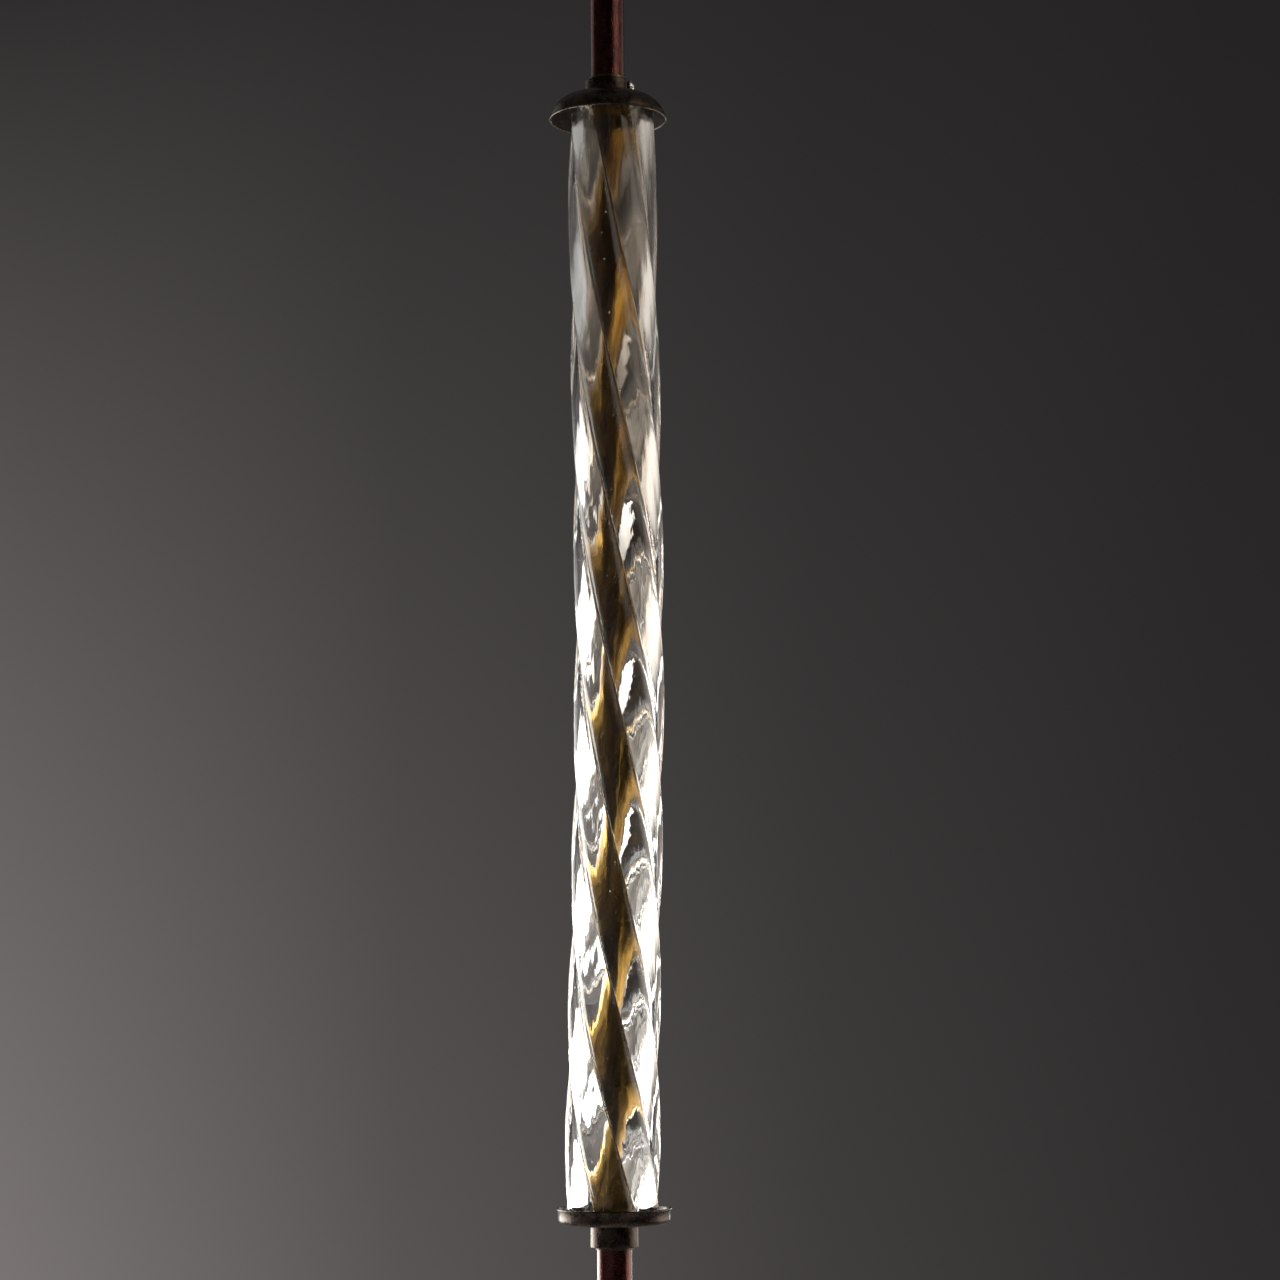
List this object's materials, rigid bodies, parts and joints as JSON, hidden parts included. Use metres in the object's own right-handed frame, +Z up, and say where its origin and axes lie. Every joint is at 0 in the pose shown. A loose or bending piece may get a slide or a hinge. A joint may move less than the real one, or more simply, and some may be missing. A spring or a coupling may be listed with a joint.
{
  "type": "pole light",
  "caption": "Ceiling-hung pole light: twisted fluted glass tube between a bell cap and a lit dish, on a bronze tube with a swivel canopy.",
  "frame": {"origin": "on the ceiling plane, at the centre of the mounting strap", "axes": "+Z up along the pole's axis into the ceiling, +X along the mounting strap"},
  "size_m": [0.14, 0.14, 1.2037],
  "materials": {
    "bronze": "dark patinated bronze, mottled satin",
    "bronze_stem": "red-brown patinated tube with fine pits",
    "core_brass": "aged brass tube, half polished",
    "brass": "turned brass",
    "steel": "zinc plated",
    "bright_screw": "bright plated domed head",
    "green_screw": "green earth screw",
    "driver_plastic": "moulded white housing",
    "connector_plastic": "orange-red twist-on caps",
    "foam": "black foam pad",
    "cable": "ivory jacket",
    "clear_glass": "hand-blown clear glass with seeds",
    "silicone": "grey silicone",
    "aluminium": "turned plate",
    "board_white": "white solder mask",
    "led_phosphor": "phosphor chips",
    "diffuser": "frosted ring"
  },
  "bodies": {
    "ceiling_fitting": {"mounting_strap": "steel", "canopy_studs": "steel", "canopy": "bronze", "canopy_cap_nuts": "brass", "ground_screw": "green_screw", "led_driver": "driver_plastic", "driver_pad": "foam", "wire_connectors": "connector_plastic", "driver_lead": "cable", "swivel_upper_yoke": "brass", "swivel_locknut": "steel"},
    "swivel": {"swivel_block": "brass", "swivel_pins": "steel"},
    "pole": {"swivel_lower_yoke": "brass", "upper_stem": "bronze_stem", "upper_coupling": "brass", "core_tube": "core_brass", "lower_coupling": "brass", "lower_stem": "bronze_stem", "finial": "bronze", "supply_cable": "cable", "glass_tube": "clear_glass", "glass_gasket": "silicone", "bottom_dish": "bronze", "heat_spreader": "aluminium", "led_board": "board_white", "led_chips": "led_phosphor", "led_board_screws": "steel", "led_cover": "diffuser", "lower_collar": "bronze", "lower_collar_bush": "bronze"},
    "sliding_cap": {"bell_cap": "bronze", "pressure_plate": "steel", "cap_gasket": "silicone", "top_collar": "bronze", "top_collar_bush": "brass"},
    "cap_screw": {"top_collar_screw": "bright_screw"},
    "lower_screw": {"lower_collar_screw": "bronze"}
  },
  "joints": [
    {"name": "swing_front_back", "type": "hinge", "parent": "ceiling_fitting", "child": "swivel", "pos_m": [0, 0, -0.025], "axis": [1, 0, 0], "range_deg": [-15, 15]},
    {"name": "swing_left_right", "type": "hinge", "parent": "swivel", "child": "pole", "pos_m": [0, 0, -0.025], "axis": [0, 1, 0], "range_deg": [-15, 15]},
    {"name": "cap_lift", "type": "slide", "parent": "pole", "child": "sliding_cap", "axis": [0, 0, 1], "range_m": [0, 0.08]},
    {"name": "cap_screw_turn", "type": "hinge", "parent": "sliding_cap", "child": "cap_screw", "pos_m": [0, 0, -0.2745], "axis": [0.9744, -0.225, 0], "range_deg": [0, 360]},
    {"name": "lower_screw_turn", "type": "hinge", "parent": "pole", "child": "lower_screw", "pos_m": [0, 0, -1.1289], "axis": [0, 1, 0], "range_deg": [0, 360]}
  ]
}
